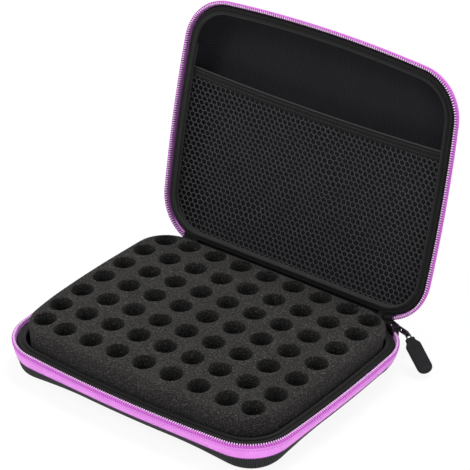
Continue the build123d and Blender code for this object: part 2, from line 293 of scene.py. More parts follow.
class Graph:
    """A material's nodes, with its Principled shader ready."""

    def __init__(self, name, roughness, specular=0.5, sheen=0.0, sheen_roughness=0.5):
        self.material = bpy.data.materials.new(name)
        self.material.use_nodes = True
        self.tree = self.material.node_tree
        self.shader = self.tree.nodes["Principled BSDF"]
        self.shader.inputs["Roughness"].default_value = roughness
        self.shader.inputs["Specular IOR Level"].default_value = specular
        self.shader.inputs["Sheen Weight"].default_value = sheen
        self.shader.inputs["Sheen Roughness"].default_value = sheen_roughness

    def put(self, socket, value):
        if isinstance(value, bpy.types.NodeSocket):
            self.tree.links.new(value, socket)
        elif isinstance(value, tuple) and len(value) == 3 and socket.type == "RGBA":
            socket.default_value = (*value, 1.0)
        else:
            socket.default_value = value

    def node(self, kind, inputs, **settings):
        made = self.tree.nodes.new("ShaderNode" + kind)
        for key, value in settings.items():
            setattr(made, key, value)
        for key, value in inputs.items():
            self.put(made.inputs[key], value)
        return made

    def math(self, operation, a, b=0.0, c=0.0, clamp=False):
        return self.node("Math", {0: a, 1: b, 2: c}, operation=operation, use_clamp=clamp).outputs[0]

    def place(self):
        return self.node("TexCoord", {}).outputs["Object"]

    def flat(self):
        """The sheet's own length and width in metres."""
        split = self.node("SeparateXYZ", {0: self.node("TexCoord", {}).outputs["UV"]})
        return split.outputs[0], split.outputs[1]

    def noise(self, size, detail=3.0, rough=0.5):
        """Noise of about that size in metres, from 0 to 1."""
        return self.node(
            "TexNoise", {"Vector": self.place(), "Scale": 1 / size, "Detail": detail, "Roughness": rough}
        ).outputs["Fac"]

    def cells(self, size):
        """Distance from the middle of the nearest of many cells of about that size in metres."""
        return self.node("TexVoronoi", {"Vector": self.place(), "Scale": 1 / size}).outputs["Distance"]

    def wave(self, along, pitch):
        """A ripple from 0 to 1 along a length in metres."""
        turn = self.math("MULTIPLY", along, 2 * pi / pitch)
        return self.math("MULTIPLY_ADD", self.math("SINE", turn), 0.5, 0.5)

    def blend(self, factor, a, b):
        """A colour from a to b."""
        made = self.node("Mix", {"Factor": factor}, data_type="RGBA")
        self.put(made.inputs[6], a)
        self.put(made.inputs[7], b)
        return made.outputs[2]

    def band(self, value, low, high, soft):
        """1 where a value lies between low and high, with soft sides."""
        rise = self.node("MapRange", {0: value, 1: low - soft, 2: low + soft}).outputs[0]
        fall = self.node("MapRange", {0: value, 1: high - soft, 2: high + soft, 3: 1.0, 4: 0.0}).outputs[0]
        return self.math("MULTIPLY", rise, fall)

    def done(self, colour, height, depth, roughness=None):
        """Sets the colour, a bump of a height from 0 to 1, and roughness where it varies."""
        self.put(self.shader.inputs["Base Color"], colour)
        bump = self.node("Bump", {"Height": height, "Distance": depth, "Strength": 1.0})
        self.put(self.shader.inputs["Normal"], bump.outputs[0])
        if roughness is not None:
            self.put(self.shader.inputs["Roughness"], roughness)
        return self.material


def foam_material(name, dark, light):
    """Open-cell foam: dark pores with paler cell walls that catch the light."""
    g = Graph(name, 0.95, specular=0.12, sheen=0.03)
    pores = g.cells(0.0013)
    fine = g.noise(0.0007, detail=2.0)
    height = g.math("ADD", g.math("MULTIPLY", pores, 0.8), g.math("MULTIPLY", fine, 0.5))
    large = g.noise(0.03, detail=2.0)
    speck = g.node("MapRange", {0: g.noise(0.0012, detail=3.0, rough=0.8), 1: 0.52, 2: 0.68}).outputs[0]
    shade = g.math("MULTIPLY_ADD", large, 0.10, g.math("MULTIPLY", height, 0.17))
    shade = g.math("MULTIPLY_ADD", speck, 0.85, shade, clamp=True)
    return g.done(g.blend(shade, dark, light), height, 0.0007)


def knit_material(name, dark, light, pitch, depth):
    """Ribbed knit: ribs across the sheet's length, broken up by loops."""
    g = Graph(name, 0.85, specular=0.18, sheen=0.03)
    u, v = g.flat()
    wander = g.math("MULTIPLY", g.noise(0.012), pitch * 0.6)
    ribs = g.wave(g.math("ADD", u, wander), pitch)
    loops = g.wave(v, 0.0011)
    fine = g.noise(0.0009, detail=2.0)
    height = g.math("ADD", g.math("MULTIPLY", ribs, 0.7), g.math("MULTIPLY", loops, 0.18))
    height = g.math("MULTIPLY_ADD", fine, 0.3, height)
    shade = g.math("MULTIPLY", height, g.math("MULTIPLY_ADD", g.noise(0.02), 0.5, 0.55), clamp=True)
    return g.done(g.blend(shade, dark, light), height, depth)


def welt_material(name):
    """Charcoal knit, with a painted highlight that makes the bead's crown a little paler, in patches."""
    g = Graph(name, 0.8, specular=0.2, sheen=0.04)
    u, v = g.flat()
    slant = g.math("ADD", u, g.math("MULTIPLY", v, 0.5))
    ribs = g.wave(slant, 0.0010)
    fine = g.noise(0.0008, detail=3.0)
    height = g.math("MULTIPLY_ADD", ribs, 0.5, g.math("MULTIPLY", fine, 0.6))
    bead = g.band(v, 0.0085, 0.0118, 0.0009)
    # Painted highlight: the bead's crown is lightened, patchy by noise.
    crown_highlight = g.math("MULTIPLY", bead, g.math("MULTIPLY_ADD", g.noise(0.008), 0.6, 0.5))
    shade = g.math("MULTIPLY_ADD", crown_highlight, 0.65, g.math("MULTIPLY", height, 0.3), clamp=True)
    return g.done(g.blend(shade, (0.0025, 0.0025, 0.0025), (0.046, 0.049, 0.045)), height, 0.00018)


def tape_material(name):
    """Woven violet tape: fine twill, short thread marks under the coil, and the inner cord painted dark as
    shade in the gap between the coil and the welt.
    """
    g = Graph(name, 0.62, specular=0.35, sheen=0.25, sheen_roughness=0.4)
    u, v = g.flat()
    warp = g.wave(u, 0.0009)
    weft = g.wave(g.math("ADD", v, g.math("MULTIPLY", u, 0.35)), 0.0008)
    fine = g.noise(0.0007, detail=2.0)
    height = g.math("ADD", g.math("MULTIPLY", warp, 0.35), g.math("MULTIPLY", weft, 0.45))
    marks = g.math("MULTIPLY", g.wave(u, TOOTH_PITCH * MM), g.band(v, 0.0042, 0.0056, 0.0005))
    shade = g.math("MULTIPLY_ADD", height, 0.3, g.math("MULTIPLY", g.noise(0.015), 0.5))
    shade = g.math("MULTIPLY_ADD", fine, 0.25, shade)
    # Painted shade: the inner cord, in the gap between the coil and the welt, is darkened.
    edge = g.band(v, 0.0, 0.0024, 0.0004)
    shade = g.math("SUBTRACT", shade, g.math("MULTIPLY", marks, 0.4), clamp=True)
    colour = g.blend(shade, (0.58, 0.13, 0.63), (1.0, 0.37, 1.0))
    colour = g.blend(g.math("MULTIPLY", edge, 0.85), colour, (0.16, 0.012, 0.20))
    return g.done(colour, g.math("SUBTRACT", height, g.math("MULTIPLY", marks, 0.4)), 0.00012)


def stitch_material(name):
    """Sewing thread laid over the coil's outer half: one short stitch for each tooth."""
    g = Graph(name, 0.6, specular=0.3, sheen=0.1)
    u, v = g.flat()
    turns = g.wave(g.math("ADD", u, g.math("MULTIPLY", v, 0.4)), TOOTH_PITCH * MM)
    fine = g.noise(0.0005, detail=2.0)
    shade = g.math("MULTIPLY_ADD", turns, 0.8, g.math("MULTIPLY", fine, 0.3), clamp=True)
    return g.done(g.blend(shade, (0.24, 0.025, 0.27), (0.74, 0.17, 0.76)), turns, 0.0002)


def plain_material(name, dark, light, roughness, size, depth=0.0001, specular=0.5, sheen=0.0):
    """A moulded or lacquered surface with a fine grain and slight wear."""
    g = Graph(name, roughness, specular=specular, sheen=sheen)
    grain = g.noise(size, detail=4.0)
    patch = g.noise(size * 14, detail=3.0)
    shade = g.math("MULTIPLY_ADD", grain, 0.5, g.math("MULTIPLY", patch, 0.5))
    rough = g.math("MULTIPLY_ADD", patch, 0.16, roughness - 0.08, clamp=True)
    return g.done(g.blend(shade, dark, light), grain, depth, rough)


def hem_material(name):
    """Elastic band: cords along its length, crossed by fine ribs."""
    g = Graph(name, 0.85, specular=0.2, sheen=0.05)
    u, v = g.flat()
    cords = g.wave(v, 0.0016)
    ribs = g.wave(u, 0.0012)
    fine = g.noise(0.0008, detail=3.0)
    height = g.math("ADD", g.math("MULTIPLY", cords, 0.6), g.math("MULTIPLY", ribs, 0.25))
    shade = g.math("MULTIPLY_ADD", fine, 0.5, g.math("MULTIPLY", height, 0.45), clamp=True)
    return g.done(g.blend(shade, (0.003, 0.003, 0.003), (0.014, 0.014, 0.0155)), height, 0.0003)


foam_look = foam_material("foam", (0.0018, 0.0017, 0.0016), (0.094, 0.089, 0.086))
pad_look = foam_material("pad_foam", (0.002, 0.002, 0.002), (0.010, 0.010, 0.010))
shell_look = knit_material("shell_knit", (0.003, 0.003, 0.003), (0.040, 0.041, 0.043), 0.0017, 0.00035)
lining_look = knit_material("lining_knit", (0.0035, 0.0035, 0.0045), (0.019, 0.019, 0.025), 0.0021, 0.0003)
welt_look = welt_material("welt_knit")
tape_look = tape_material("tape_weave")
# Painted shade: the coil's core is near black purple, for the shade between the teeth and between the coil
# and the tape.
core_painted_shade_look = plain_material("coil_core_painted_shade", (0.05, 0.004, 0.07), (0.11, 0.012, 0.15), 0.8, 0.0006, sheen=0.05)
band_look = stitch_material("coil_stitching")
piping_look = plain_material(
    "tape_piping", (0.07, 0.008, 0.09), (0.16, 0.025, 0.20), 0.7, 0.0006, sheen=0.1)
coil_look = plain_material("coil_nylon", (0.90, 0.48, 0.92), (1.0, 0.78, 1.0), 0.4, 0.0012, 0.00003)
stop_look = plain_material("stop_metal", (0.30, 0.08, 0.38), (0.48, 0.16, 0.58), 0.4, 0.0008, 0.00003)
net_look = plain_material(
    "net_thread", (0.020, 0.020, 0.022), (0.088, 0.088, 0.092), 0.75, 0.0005, 0.00008, 0.2, sheen=0.04)
hem_look = hem_material("hem_elastic")
edge_look = plain_material(
    "hem_edge", (0.022, 0.022, 0.023), (0.06, 0.06, 0.062), 0.75, 0.0006, specular=0.2, sheen=0.1)
thread_look = plain_material(
    "stitch_thread", (0.012, 0.012, 0.013), (0.045, 0.045, 0.047), 0.6, 0.0004, sheen=0.05)
metal_look = plain_material(
    "slider_lacquer", (0.004, 0.004, 0.005), (0.014, 0.014, 0.015), 0.26, 0.0015, 0.00003)
rubber_look = plain_material(
    "tab_rubber", (0.004, 0.004, 0.005), (0.012, 0.012, 0.014), 0.6, 0.0005, 0.00005, 0.2)
strip_look = knit_material("hinge_fabric", (0.003, 0.003, 0.003), (0.016, 0.016, 0.017), 0.0014, 0.0002)


# Shells and linings

def smooth(value):
    """An even rise from 0 to 1."""
    value = min(max(value, 0.0), 1.0)
    return value * value * (3 - 2 * value)


def cornering(x, y, reach):
    """1 at the middle of a corner, falling to 0 over a reach: 0 along the straight sides."""
    along = y - REAR if y > 0 else FRONT - y
    return smooth(1 - hypot(abs(x) - REACH - ARC_MIDDLE, along - ARC_MIDDLE) / reach)


def fullness(x, y):
    """How far the base's fuller corners reach: 1 in their middle."""
    return cornering(x, y, 72.0)


def belly(x, y, lid):
    """How far the wall draws in from below the zip down to the floor: least along the hinge."""
    wide = 14.0 if lid else 18.5 - 14.0 * fullness(x, y) * smooth((40.0 - y) / 60.0)
    return wide + (4.5 - wide) * smooth((y - 56.0) / 40.0)


def curve(depth, lid):
    """Share of the draw-in at a share of the depth: the base is round, the lid more like a cushion."""
    round_share = 1 - (1 - min(depth, 1.0) ** 2) ** 0.5
    return 0.6 * depth**0.9 + 0.4 * round_share if lid else round_share


def wall_in(drop, x, y, lid):
    """How far inside the rim line the shell's outer face lies at a depth below the zip."""
    depth = min(max(drop - BELLY_DROP, 0.0) / (HALF - BELLY_DROP), 1.0)
    return 0.8 + belly(x, y, lid) * curve(depth, lid)


def inner_belly(x, y, lid):
    """The draw-in of the wall's inner face."""
    return max(belly(x, y, lid) * (LID_INNER_SHARE if lid else INNER_SHARE), LEAST_INNER)


def dish(start, width, height, turns, lid):
    """Points of a wall that curves from the floor up to the depth where it stands upright."""
    return [
        (-start - width * curve(cos(radians(turn)), lid), -BELLY_DROP - height * cos(radians(turn)))
        for turn in turns
    ]


def shell_profile(lid):
    """The shell from the floor up its outer face, over the edge and down its inner face."""
    def section(x, y):
        outer, inner = belly(x, y, lid), inner_belly(x, y, lid)
        return (
            [(-SHELL_LAP, -HALF)]
            + dish(0.8, outer, 19.0, (1, 8, 15, 22, 30, 39, 48, 58, 70, 90), lid)
            + [(-0.7, -5.5), (-1.0, -5.0), (-3.2, -5.0), (-3.7, -5.5)]
            + dish(3.9, inner, 16.0, (90, 72, 54, 36, 20, 8, 1), lid)
            + [(-SHELL_LAP, -HALF + 3.0)]
        )
    return section


def lining_profile(lid):
    """The lining, just inside the shell."""
    def section(x, y):
        inner = inner_belly(x, y, lid)
        return (
            [(-SHELL_LAP, -HALF + 3.1)]
            + dish(4.0, inner, 15.9, (1, 8, 20, 36, 54, 72, 90), lid)
            + [(-3.85, -5.5), (-4.0, -5.05), (-4.4, -5.05), (-4.55, -5.5)]
            + dish(4.6, inner, 15.1, (90, 80, 70, 60, 50, 40, 30, 20, 10, 2), lid)
            + [(-SHELL_LAP, -HALF + 3.9)]
        )
    return section


HALVES = (("base", False), ("lid", True))
closed_line = walk(2.0)
for half, lid in HALVES:
    for part, profile, look in (
        ("shell", shell_profile, shell_look),
        ("lining", lining_profile, lining_look),
    ):
        shape = sweep(profile(lid), *closed_line, closed=True, floored=True)
        make(half + "_case_" + part, shape, look, half, [half + "_" + part], lid)


# Welt: a soft shoulder, a shallow valley and a round bead

welt_profile = (
    [(-1.9, -4.95), (-1.95, -4.2), (-2.1, -3.1), (-2.6, -2.4), (-3.2, -2.12), (-4.2, -2.3), (-4.9, -2.55)]
    + bend((-6.5, -2.2), 1.45, -8, 188, 12)
    + [(-7.9, -3.4), (-7.7, -4.4), (-7.1, -4.95)]
)
welt_shape = sweep(welt_profile, *closed_line, closed=True)
for half, lid in HALVES:
    make(half + "_lip", welt_shape, welt_look, half, [half + "_welt"], lid)


# Zip

def tape_foot(x, y, lid):
    """How deep the tape reaches below the zip: deepest at the base's front corners."""
    return TAPE_FOOT + (0.0 if lid else 1.6 * fullness(x, y) * smooth((20.0 - y) / 40.0))


def tape_profile(lid):
    """The tape from its inner cord over its edge, down its swelling face and up its back."""
    swell = ((0.0, 2.2), (0.18, 2.3), (0.36, 2.2), (0.55, 1.9), (0.72, 1.5), (0.88, 1.05), (1.0, 0.72))
    flat_cord = np.array([(0.3, -3.75), (0.4, -3.5), (0.5, -3.35), (0.6, -3.3)])
    high_cord = np.array([(-0.9, -3.75), (-0.85, -3.4), (-0.6, -3.1), (-0.1, -3.1)])

    def section(x, y):
        foot = tape_foot(x, y, lid)
        # The raised cord stops where the slider runs.
        raised = smooth((28.0 - y) / 8.0) if x > 0 else smooth((86.5 - y) / 3.0)
        cord = [tuple(point) for point in flat_cord + raised * (high_cord - flat_cord)]
        drops = [(TAPE_TOP + (foot - TAPE_TOP) * share, lift) for share, lift in swell]
        back = [(0.1 - wall_in(foot, x, y, lid), -foot), (0.12 - wall_in(8.0, x, y, lid), -8.0)]
        return (
            cord + [(0.9, -3.25), (1.25, -3.35)]
            + [(lift - wall_in(drop, x, y, lid), -drop) for drop, lift in drops]
            + back + [(-0.5, -5.6), (-0.6, -4.3)]
        )
    return section


def piping_profile(lid):
    """The dark round edge along the tape's foot."""
    def section(x, y):
        foot = tape_foot(x, y, lid)
        return bend((0.25 - wall_in(foot, x, y, lid), -foot - 0.35), 0.55, 0, 330, 11)
    return section


# The coil's core: a dark piece standing for the shade between the teeth.
core_profile = [(0.35, -3.2), (0.35, -2.2), (0.6, -1.75), (1.2, -1.7), (1.6, -2.0), (1.6, -3.2)]
band_profile = [(1.35, -2.4), (1.35, -1.6), (1.55, -1.25), (1.85, -1.2),
                (2.2, -1.45), (2.4, -2.0), (2.3, -3.4), (1.9, -3.4)]
stop_profile = [(-0.1, -3.1), (-0.15, -1.3), (0.3, -0.85), (1.9, -0.85), (2.35, -1.3), (2.3, -3.1)]
tape_line, coil_line, fine_line = walk(2.0, TAPE_END), walk(2.0, COIL_END), walk(0.5, COIL_END)


def teeth():
    """Separate coil teeth, each a rounded bar across the tape's edge."""
    rows, length = fine_line
    count = int(length / TOOTH_PITCH)
    margin = (length - (count - 1) * TOOTH_PITCH) / 2
    # A tooth's rings: place outward, share of its width, share of its height
    rings = ((0.0, 0.62, 0.8), (0.22, 0.9, 1.0), (0.6, 1.0, 1.0),
             (1.15, 1.0, 1.0), (1.6, 0.9, 0.55), (2.2, 0.62, 0.4))
    outline = [(0.20, 1.0), (0.38, 0.72), (0.42, -0.4), (0.38, -1.0),
               (-0.38, -1.0), (-0.42, -0.4), (-0.38, 0.72), (-0.20, 1.0)]
    points, faces = [], []
    for i in range(count):
        x, y, nx, ny = (np.interp(margin + i * TOOTH_PITCH, rows[:, 4], rows[:, k]) for k in range(4))
        faces += skin(len(rings), len(outline), len(points))
        for out, share, tall in rings:
            for along, up in outline:
                a = along * share
                points.append((x + nx * out + ny * a, y + ny * out - nx * a, HALF - 2.0 + 1.2 * up * tall))
    return points, faces


def corner_stations(side, start, turn, count):
    """Stations along a rear corner's arc, from an angle on by a turn."""
    rows = []
    for k in range(count):
        a = radians(start + turn * k / (count - 1))
        nx, ny = cos(a), sin(a)
        rows.append((side * (REACH + RADIUS * nx), REAR + RADIUS * ny, side * nx, ny, RADIUS * a))
    return np.array(rows)


def both_corners(profile, start, turn, count):
    """A profile swept along both rear corners, as one: points, faces and flat coordinates."""
    ends = [sweep(profile, corner_stations(side, start, turn, count), 0.0) for side in (1, -1)]
    return *merge([end[:2] for end in ends]), ends[0][2] + ends[1][2]


def sleeve_profile(x, y):
    """A cloth sleeve over the coil and the tape's upper part, kept short of the hinge line."""
    section = [(-0.5, -3.2), (-0.45, -1.5), (-0.1, -0.75), (0.6, -0.4), (1.6, -0.38), (2.4, -0.75),
               (2.75, -1.5), (2.85, -3.2), (2.75, -6.0), (2.3, -8.6), (1.5, -8.5), (1.1, -3.6), (0.2, -3.3)]
    limit = (97.3 - REAR) / ((y - REAR) / RADIUS) - RADIUS
    return [(min(out, limit), up) for out, up in section]


teeth_shape, stops_shape = teeth(), both_corners(stop_profile, COIL_END + 0.4, 3.0, 7)[:2]
for half, lid in HALVES:
    for part, profile, line, look, nodes in (
        ("tape", tape_profile(lid), tape_line, tape_look, [half + "_zip_tape"]),
        ("tape_piping", piping_profile(lid), tape_line, piping_look, ()),
        ("coil_core_painted_shade", core_profile, coil_line, core_painted_shade_look, ()),
        ("coil_stitching", band_profile, coil_line, band_look, ()),
    ):
        make(half + "_" + part, sweep(profile, *line), look, half, nodes, lid)
    nodes = [half + "_zip_coil"] + (["lid_coil_ends"] if lid else [])
    make(half + "_coil_teeth", teeth_shape, coil_look, half, nodes, lid)
    make(half + "_end_stops", stops_shape, stop_look, half, [half + "_zip_stops"], lid)
sleeves_shape = both_corners(sleeve_profile, SLEEVE_START, SLEEVE_TURN, 14)
for half, lid in HALVES:
    make(half + "_zip_end_sleeves", sleeves_shape, strip_look, half, (), lid)


# Foam

def hole_places():
    """The holes' centres, with the four corner ones drawn in."""
    places = []
    for column in range(-4, 5):
        for row in range(-3, 4):
            x, y = column * HOLE_PITCH, row * HOLE_PITCH
            if abs(column) == 4 and abs(row) == 3:
                x, y = x - CORNER_HOLE_DRAW[0] * column / 4, y - CORNER_HOLE_DRAW[1] * row / 3
            places.append((x, y + HOLE_SET_BACK))
    return np.array(places)


HOLES = hole_places()


def hole_distance(points):
    """Distance from the nearest hole's centre."""
    return np.sqrt(((points[:, None, :] - HOLES[None]) ** 2).sum(2)).min(1)


def corner_draw(x, y):
    """How far the block is drawn in at the front corners, and let out at the rear ones."""
    return (-1.1 if y > 0 else 1.6) * cornering(x, y, 50.0)


def foam_inset(points):
    """How far points lie inside the block's edge."""
    points = np.asarray(points, float).reshape(-1, 2)
    return inset(points, -FOAM_GAP) - np.array([corner_draw(x, y) for x, y in points])


def foam_height(points):
    """The crowned top with its rounded edge, before the holes' own rounding."""
    points = np.asarray(points, float).reshape(-1, 2)
    fall = 2.2 * (np.abs(points[:, 0]) / 111) ** 2.5 + 2.0 * (np.abs(points[:, 1]) / 87) ** 2.5
    depth = np.clip(FOAM_ROUND - foam_inset(points), 0, FOAM_ROUND)
    return FOAM_TOP - fall - (FOAM_ROUND - np.sqrt(FOAM_ROUND**2 - depth**2 * 0.999))


def numbered(rings):
    """The index lists of rings whose points follow one another."""
    loops, start = [], 0
    for ring in rings:
        loops.append(list(range(start, start + len(ring))))
        start += len(ring)
    return loops


def triangulate(seeds, loops):
    """Triangles over points, with loops kept as edges: places, triangles, sources and middles."""
    edges = [(loop[k], loop[(k + 1) % len(loop)]) for loop in loops for k in range(len(loop))]
    verts, _, tris, origin, _, _ = delaunay_2d_cdt([Vector(p) for p in seeds], edges, [], 0, 1e-5)
    verts = np.array([tuple(v) for v in verts])
    return verts, tris, origin, np.array([verts[list(t)].mean(0) for t in tris])


def foam():
    """The block: a triangulated top between rings round the holes and along the edge."""
    sides, step = 40, 2.8
    # Insets of the rounded edge's rings, then each side ring's level and pinch
    edge_insets = (3.3, 2.4, 1.6, 0.95, 0.45, 0.12, 0.0)
    side_rings = ((30.5, 0.0), (26.0, 0.25), (21.0, 0.45), (14.0, 0.5), (FOAM_FOOT, 1.8))
    rows = walk(2.6)[0]
    drawn = FOAM_GAP + np.array([corner_draw(*row[:2]) for row in rows])[:, None]
    circle = np.array([(cos(2 * pi * k / sides), sin(2 * pi * k / sides)) for k in range(sides)])
    lip = HOLE_RADIUS + HOLE_ROUND
    flat = [rows[:, :2] - rows[:, 2:4] * (drawn + edge_insets[0])]
    flat += [centre + circle * lip for centre in HOLES]
    loops = numbered(flat)
    grid = np.array([
        ((i + (j % 2) / 2) * step, j * step * 0.87) for j in range(-36, 37) for i in range(-42, 43)])
    grid = grid[(hole_distance(grid) > lip + 1.0) & (foam_inset(grid) > edge_insets[0] + 1.2)]
    verts, tris, origin, middles = triangulate(np.vstack(flat + [grid]), loops)
    at = {source: k for k, sources in enumerate(origin) for source in sources}
    inside = foam_inset(middles) > edge_insets[0] - 0.7
    clear = hole_distance(middles) > lip * cos(pi / sides) - 0.01
    faces = [tuple(t) for t, a, b in zip(tris, inside, clear) if a and b]
    dents = wobble(verts, 9, 9, 0.3) * 0.28 + wobble(verts, 2.2, 2.2, 4.1) * 0.10
    points = [(p[0], p[1], h + d) for p, h, d in zip(verts, foam_height(verts), dents)]

    def add_ring(xy, z, last):
        first = len(points)
        points.extend((x, y, h) for (x, y), h in zip(xy, z))
        ring = list(range(first, first + len(xy)))
        n = len(ring)
        for k in range(n):
            l = (k + 1) % n
            faces.append((last[k], last[l], ring[l], ring[k]))
        return ring

    last = [at[k] for k in loops[0]]
    for gap in edge_insets[1:]:
        xy = rows[:, :2] - rows[:, 2:4] * (drawn + gap)
        last = add_ring(xy, foam_height(xy), last)
    for level, pinch in side_rings:
        base = drawn if level > 30 else np.maximum(drawn, FOAM_GAP)
        xy = rows[:, :2] - rows[:, 2:4] * (base + pinch)
        last = add_ring(xy, [level] * len(xy), last)
    bottom_loops = [last]
    for centre, loop in zip(HOLES, loops[1:]):
        last = [at[k] for k in loop]
        for wide, down in ((0.74, 0.1), (0.58, 0.4), (0.42, 1.2), (0.24, 2.8)):
            z = foam_height(centre + circle * lip) - down
            last = add_ring(centre + circle * (HOLE_RADIUS + wide), z, last)
        for level in (33.0, 29.0, 24.0, 17.0, FOAM_FOOT):
            wave = np.ones(sides)
            if level != FOAM_FOOT:
                wave += 0.012 * np.array(
                    [noise.noise(Vector((centre[0] / 7, level / 4, c[0] + c[1] * 2))) for c in circle])
            xy = centre + circle * HOLE_RADIUS * wave[:, None]
            last = add_ring(xy, [min(level, h) for h in z - 0.6], last)
        bottom_loops.append(last)
    ids = [k for loop in bottom_loops for k in loop]
    _, tris, origin, middles = triangulate([points[k][:2] for k in ids], numbered(bottom_loops))
    inside = foam_inset(middles) > -0.7
    clear = hole_distance(middles) > HOLE_RADIUS * cos(pi / sides) - 0.01
    for t, a, b in zip(tris, inside, clear):
        if a and b and all(origin[k] for k in t):
            faces.append(tuple(ids[origin[k][0]] for k in t))
    return points, faces


foam_block = make("foam_block", foam(), foam_look, "base", ["foam_insert"], sharp=60.0)
pad_profile = [(-SHELL_LAP - 4, -HALF + 3.95), (-20.8, -HALF + 3.95), (-11.0, -HALF + 7.85),
               (-SHELL_LAP - 4, -HALF + 7.85)]
pad_shape = sweep(pad_profile, *closed_line, closed=True, floored=True)
foam_pad = make("foam_under_pad", pad_shape, pad_look, "base", ["foam_base_pad"])


# Pocket in the lid

def hem_y(x):
    return HEM_LINE - HEM_BOW * (x / 121.0) ** 2


def net():
    """A knitted net: a honeycomb of threads, a little slack between the hem and the hinge."""
    across, along = 4.5, 3.7
    index, points, faces = {}, [], []

    def corner(x, y):
        key = (round(x * 20), round(y * 20))
        if key not in index:
            index[key] = len(points)
            points.append((x, y))
        return index[key]

    half, tall = across / 2, along * 2 / 3
    for row in range(-12, 26):
        for column in range(-26, 27):
            x, y = (column + (row % 2) / 2) * across, row * along
            if y < hem_y(x) + 3.0 or inset([(x, y)], -NET_MARGIN)[0] < 1.0:
                continue
            outer = [(x, y + tall), (x - half, y + tall / 2), (x - half, y - tall / 2),
                     (x, y - tall), (x + half, y - tall / 2), (x + half, y + tall / 2)]
            ring = [corner(*p) for p in outer]
            first = len(points)
            # What the hole takes of its cell
            share = 0.865 + 0.03 * noise.noise(Vector((x / 6, y / 6, 2.0)))
            points += [(x + (p[0] - x) * share, y + (p[1] - y) * share) for p in outer]
            for k in range(6):
                nearby = (k + 1) % 6
                faces.append((ring[k], ring[nearby], first + nearby, first + k))
    flat = np.array(points)
    slack = np.clip(inset(flat, -NET_MARGIN) / 40, 0, 1) * np.clip((flat[:, 1] - HEM_LINE) / 30, 0, 1)
    ripple = wobble(flat, 34, 22, 7.0)
    shift = np.array([noise.noise_vector(Vector((p[0] / 26, p[1] / 26, 1.0)))[:2] for p in flat])
    fold = np.array([noise.noise(Vector(((p[0] + p[1]) / 15, (p[0] - p[1]) / 60, 3.0))) for p in flat])
    moved = flat + shift * 2.2 * slack[:, None]
    z = NET_LEVEL - 2.4 * slack - (1.6 * ripple + 1.5 * fold) * slack
    return np.column_stack([moved, z]), faces


def along_x(xs, lengths):
    """Faces of a bar along the hinge's direction, and their flat coordinates."""
    faces = skin(len(xs), len(lengths))
    return faces, [(xs[p // len(lengths)], lengths[p % len(lengths)]) for face in faces for p in face]


def hem():
    """The elastic band along the mouth, gathered a little, with a rolled edge."""
    xs = np.arange(-HEM_REACH, HEM_REACH + 0.01, 1.1)
    section = [(0.3, 0.1), (0.0, 0.45), (0.3, 0.85), (2.2, 0.72), (2.7, 0.55), (3.2, 0.72), (5.2, 0.72),
               (5.7, 0.55), (6.2, 0.68), (7.6, 0.55), (7.9, 0.3), (7.6, 0.1)]
    points = []
    for x in xs:
        pucker = 0.22 * noise.noise(Vector((x / 2.6, 0.0, 9.0)))
        pucker += 0.25 * noise.noise(Vector((x / 14, 3.0, 9.0)))
        for across, up in section:
            points.append((x, hem_y(x) + across, HEM_LEVEL + up + pucker * (across / HEM_WIDTH) * 1.3))
    return points, *along_x(xs, [across for across, _ in section])


def stitches():
    """Two rows of short stitches along the hem."""
    parts = []
    for offset in (2.7, 5.7):
        for x in np.arange(-109, 109, 2.6):
            line = [(x + d, hem_y(x + d) + offset, HEM_LEVEL + 0.62 + lift)
                    for d, lift in ((0.0, 0.0), (0.4, 0.16), (1.4, 0.16), (1.8, 0.0))]
            parts.append(tube(line, 0.17, 6))
    return merge(parts)


pocket_mesh = make("pocket_mesh", net(), net_look, "lid", ["pocket_net"], lid=True)
thickness = pocket_mesh.modifiers.new("thread", "SOLIDIFY")
thickness.thickness, thickness.offset = 0.34 * MM, 0.0
bpy.context.view_layer.update()
solid_net = bpy.data.meshes.new_from_object(pocket_mesh.evaluated_get(bpy.context.evaluated_depsgraph_get()))
pocket_mesh.modifiers.clear()
pocket_mesh.data = solid_net
hem_band = make("hem_band", hem(), hem_look, "lid", ["pocket_hem"], lid=True)
roll_line = [(x, hem_y(x) + 0.15, HEM_LEVEL + 0.6) for x in np.arange(0.2 - HEM_REACH, HEM_REACH, 2.2)]
hem_roll = make("hem_rolled_edge", tube(roll_line, 0.48, 8), edge_look, "lid", lid=True)
hem_stitches = make("hem_stitches", stitches(), thread_look, "lid", lid=True)

# The binding runs from past the hem's left end, round the hinge side, to past its right end.
held = RIM[:, 1] > HEM_LINE - 22
start = int(np.argmax((RIM[:, 0] < 0) & held & (RIM[:, 3] > -0.9)))
side_rows = np.vstack([RIM, RIM])[start:start + sum(held)]
side_rows[:, 4] = np.unwrap(side_rows[:, 4], period=RIM_LENGTH)
binding_profile = [(-4.7, -5.75), (-4.8, -5.2), (-7.6, -5.15), (-8.0, -5.4), (-7.9, -5.85), (-7.4, -5.9)]
binding_shape = sweep(binding_profile, side_rows, RIM_LENGTH)
binding_band = make(
    "pocket_edge_binding", binding_shape, edge_look, "lid", ["pocket_binding"], lid=True)

origin, above, ceiling = to_lid(np.array([[0.0, 0.0, 0.0], [0.0, 0.0, 1.0], [0.0, 0.0, 4.1]]))
lid_up, ceiling = tuple(above - origin), tuple(ceiling * MM)
for piece in (pocket_mesh, hem_band, hem_roll, hem_stitches, binding_band):
    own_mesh(piece)


# Hinge strip

